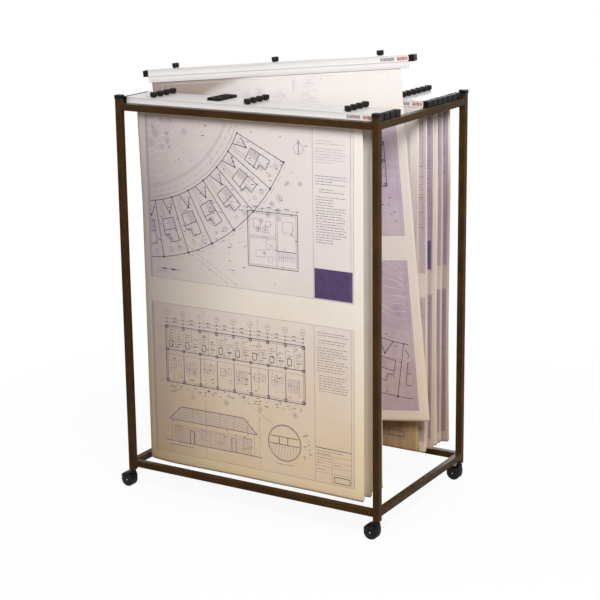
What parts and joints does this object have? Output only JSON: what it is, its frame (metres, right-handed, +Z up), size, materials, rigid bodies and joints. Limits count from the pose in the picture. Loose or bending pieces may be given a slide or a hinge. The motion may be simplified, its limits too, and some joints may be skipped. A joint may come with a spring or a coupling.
{
  "type": "plan hanging rack",
  "caption": "Mobile rack for large drawings: an open square-tube frame on twin-wheel castors whose side rails carry clamping hangers with sheets.",
  "frame": {"origin": "on the floor under the middle of the tube frame", "axes": "+Z up, +X to the right along the front, +Y from the front to the back"},
  "size_m": [1.0265, 0.638, 1.5152],
  "materials": {
    "frame_paint": "satin",
    "aluminium": "satin anodised",
    "black_plastic": "satin",
    "castor_tyre": "satin",
    "steel": "zinc plated",
    "plan_paper": "matt",
    "plan_paper_tan": "matt"
  },
  "bodies": {
    "frame": {"left_end_frame": "frame_paint", "right_end_frame": "frame_paint", "front_top_rail": "frame_paint", "rear_top_rail": "frame_paint", "front_bottom_rail": "frame_paint", "rear_bottom_rail": "frame_paint", "post_caps": "black_plastic"},
    "castor_front_left": {"castor_front_left_housing": "black_plastic"},
    "castor_front_left_wheel_front": {"castor_front_left_wheel_front": "castor_tyre"},
    "castor_front_left_wheel_rear": {"castor_front_left_wheel_rear": "castor_tyre"},
    "castor_front_right": {"castor_front_right_housing": "black_plastic"},
    "castor_front_right_wheel_front": {"castor_front_right_wheel_front": "castor_tyre"},
    "castor_front_right_wheel_rear": {"castor_front_right_wheel_rear": "castor_tyre"},
    "castor_rear_left": {"castor_rear_left_housing": "black_plastic"},
    "castor_rear_left_wheel_front": {"castor_rear_left_wheel_front": "castor_tyre"},
    "castor_rear_left_wheel_rear": {"castor_rear_left_wheel_rear": "castor_tyre"},
    "castor_rear_right": {"castor_rear_right_housing": "black_plastic"},
    "castor_rear_right_wheel_front": {"castor_rear_right_wheel_front": "castor_tyre"},
    "castor_rear_right_wheel_rear": {"castor_rear_right_wheel_rear": "castor_tyre"},
    "front_hanger_1": {"front_hanger_1_profiles": "aluminium", "front_hanger_1_fittings": "black_plastic", "front_hanger_1_plans": "plan_paper"},
    "front_hanger_2": {"front_hanger_2_profiles": "aluminium", "front_hanger_2_fittings": "black_plastic", "front_hanger_2_plans": "plan_paper"},
    "front_hanger_3": {"front_hanger_3_profiles": "aluminium", "front_hanger_3_fittings": "black_plastic", "front_hanger_3_plans": "plan_paper"},
    "front_hanger_4": {"front_hanger_4_profiles": "aluminium", "front_hanger_4_fittings": "black_plastic", "front_hanger_4_plans": "plan_paper"},
    "rear_hanger_1": {"rear_hanger_1_profiles": "aluminium", "rear_hanger_1_fittings": "black_plastic", "rear_hanger_1_plans": "plan_paper_tan"},
    "rear_hanger_2": {"rear_hanger_2_profiles": "aluminium", "rear_hanger_2_fittings": "black_plastic", "rear_hanger_2_plans": "plan_paper"},
    "rear_hanger_3": {"rear_hanger_3_profiles": "aluminium", "rear_hanger_3_fittings": "black_plastic", "rear_hanger_3_plans": "plan_paper"},
    "rear_hanger_4": {"rear_hanger_4_profiles": "aluminium", "rear_hanger_4_fittings": "black_plastic", "rear_hanger_4_plans": "plan_paper"},
    "rear_hanger_5": {"rear_hanger_5_profiles": "aluminium", "rear_hanger_5_fittings": "black_plastic", "rear_hanger_5_plans": "plan_paper"},
    "rear_hanger_6": {"rear_hanger_6_profiles": "aluminium", "rear_hanger_6_fittings": "black_plastic", "rear_hanger_6_plans": "plan_paper"},
    "rear_hanger_7": {"rear_hanger_7_profiles": "aluminium", "rear_hanger_7_fittings": "black_plastic", "rear_hanger_7_plans": "plan_paper"},
    "raised_hanger": {"raised_hanger_profile": "aluminium", "raised_hanger_end_lugs": "black_plastic", "raised_hanger_plans": "plan_paper"},
    "raised_hanger_jaw": {"raised_hanger_jaw": "aluminium"},
    "raised_hanger_studs": {"raised_hanger_studs": "steel"},
    "raised_hanger_knob_left": {"raised_hanger_knob_left": "black_plastic"},
    "raised_hanger_knob_centre": {"raised_hanger_knob_centre": "black_plastic"},
    "raised_hanger_knob_right": {"raised_hanger_knob_right": "black_plastic"}
  },
  "joints": [
    {"name": "castor_front_left_swivel", "type": "hinge", "parent": "frame", "child": "castor_front_left", "pos_m": [-0.479, -0.301, 0.063], "axis": [0, 0, 1], "continuous": true},
    {"name": "castor_front_left_wheel_front_spin", "type": "hinge", "parent": "castor_front_left", "child": "castor_front_left_wheel_front", "pos_m": [-0.497, -0.3125, 0.025], "axis": [0, 1, 0], "continuous": true},
    {"name": "castor_front_left_wheel_rear_spin", "type": "hinge", "parent": "castor_front_left", "child": "castor_front_left_wheel_rear", "pos_m": [-0.497, -0.2895, 0.025], "axis": [0, 1, 0], "continuous": true},
    {"name": "castor_front_right_swivel", "type": "hinge", "parent": "frame", "child": "castor_front_right", "pos_m": [0.479, -0.301, 0.063], "axis": [0, 0, 1], "continuous": true},
    {"name": "castor_front_right_wheel_front_spin", "type": "hinge", "parent": "castor_front_right", "child": "castor_front_right_wheel_front", "pos_m": [0.461, -0.3125, 0.025], "axis": [0, 1, 0], "continuous": true},
    {"name": "castor_front_right_wheel_rear_spin", "type": "hinge", "parent": "castor_front_right", "child": "castor_front_right_wheel_rear", "pos_m": [0.461, -0.2895, 0.025], "axis": [0, 1, 0], "continuous": true},
    {"name": "castor_rear_left_swivel", "type": "hinge", "parent": "frame", "child": "castor_rear_left", "pos_m": [-0.479, 0.301, 0.063], "axis": [0, 0, 1], "continuous": true},
    {"name": "castor_rear_left_wheel_front_spin", "type": "hinge", "parent": "castor_rear_left", "child": "castor_rear_left_wheel_front", "pos_m": [-0.497, 0.2895, 0.025], "axis": [0, 1, 0], "continuous": true},
    {"name": "castor_rear_left_wheel_rear_spin", "type": "hinge", "parent": "castor_rear_left", "child": "castor_rear_left_wheel_rear", "pos_m": [-0.497, 0.3125, 0.025], "axis": [0, 1, 0], "continuous": true},
    {"name": "castor_rear_right_swivel", "type": "hinge", "parent": "frame", "child": "castor_rear_right", "pos_m": [0.479, 0.301, 0.063], "axis": [0, 0, 1], "continuous": true},
    {"name": "castor_rear_right_wheel_front_spin", "type": "hinge", "parent": "castor_rear_right", "child": "castor_rear_right_wheel_front", "pos_m": [0.461, 0.2895, 0.025], "axis": [0, 1, 0], "continuous": true},
    {"name": "castor_rear_right_wheel_rear_spin", "type": "hinge", "parent": "castor_rear_right", "child": "castor_rear_right_wheel_rear", "pos_m": [0.461, 0.3125, 0.025], "axis": [0, 1, 0], "continuous": true},
    {"name": "front_hanger_1_lift", "type": "slide", "parent": "frame", "child": "front_hanger_1", "axis": [0, 0, 1], "range_m": [0, 1.3]},
    {"name": "front_hanger_2_lift", "type": "slide", "parent": "frame", "child": "front_hanger_2", "axis": [0, 0, 1], "range_m": [0, 1.3]},
    {"name": "front_hanger_3_lift", "type": "slide", "parent": "frame", "child": "front_hanger_3", "axis": [0, 0, 1], "range_m": [0, 1.3]},
    {"name": "front_hanger_4_lift", "type": "slide", "parent": "frame", "child": "front_hanger_4", "axis": [0, 0, 1], "range_m": [0, 1.3]},
    {"name": "rear_hanger_1_lift", "type": "slide", "parent": "frame", "child": "rear_hanger_1", "axis": [0, 0, 1], "range_m": [0, 1.3]},
    {"name": "rear_hanger_2_lift", "type": "slide", "parent": "frame", "child": "rear_hanger_2", "axis": [0, 0, 1], "range_m": [0, 1.3]},
    {"name": "rear_hanger_3_lift", "type": "slide", "parent": "frame", "child": "rear_hanger_3", "axis": [0, 0, 1], "range_m": [0, 1.3]},
    {"name": "rear_hanger_4_lift", "type": "slide", "parent": "frame", "child": "rear_hanger_4", "axis": [0, 0, 1], "range_m": [0, 1.3]},
    {"name": "rear_hanger_5_lift", "type": "slide", "parent": "frame", "child": "rear_hanger_5", "axis": [0, 0, 1], "range_m": [0, 1.3]},
    {"name": "rear_hanger_6_lift", "type": "slide", "parent": "frame", "child": "rear_hanger_6", "axis": [0, 0, 1], "range_m": [0, 1.3]},
    {"name": "rear_hanger_7_lift", "type": "slide", "parent": "frame", "child": "rear_hanger_7", "axis": [0, 0, 1], "range_m": [0, 1.3]},
    {"name": "raised_hanger_lift", "type": "slide", "parent": "frame", "child": "raised_hanger", "axis": [0, 0, 1], "range_m": [0, 0.6]},
    {"name": "raised_jaw_hinge", "type": "hinge", "parent": "raised_hanger", "child": "raised_hanger_jaw", "pos_m": [-0.02647, -0.06109, 1.45665], "axis": [0.9849, 0.1494, 0.0872], "range_deg": [0, 9.46]},
    {"name": "raised_studs_rise", "type": "slide", "parent": "raised_hanger", "child": "raised_hanger_studs", "axis": [-0.0862, -0.0131, 0.9962], "range_m": [0, 0.0015]},
    {"name": "raised_knob_left_turn", "type": "hinge", "parent": "raised_hanger_studs", "child": "raised_hanger_knob_left", "pos_m": [-0.38631, -0.10658, 1.43617], "axis": [-0.0862, -0.0131, 0.9962], "range_deg": [0, 540]},
    {"name": "raised_knob_centre_turn", "type": "hinge", "parent": "raised_hanger_studs", "child": "raised_hanger_knob_centre", "pos_m": [-0.02879, -0.05234, 1.46781], "axis": [-0.0862, -0.0131, 0.9962], "range_deg": [0, 540]},
    {"name": "raised_knob_right_turn", "type": "hinge", "parent": "raised_hanger_studs", "child": "raised_hanger_knob_right", "pos_m": [0.32874, 0.0019, 1.49944], "axis": [-0.0862, -0.0131, 0.9962], "range_deg": [0, 540]}
  ],
  "couplings": [
    {"joint": "raised_knob_left_turn", "follows": "raised_studs_rise", "rad_per_m": 6283},
    {"joint": "raised_knob_centre_turn", "follows": "raised_studs_rise", "rad_per_m": 6283},
    {"joint": "raised_knob_right_turn", "follows": "raised_studs_rise", "rad_per_m": 6283},
    {"joint": "raised_jaw_hinge", "follows": "raised_studs_rise", "rad_per_m": 109.9}
  ]
}
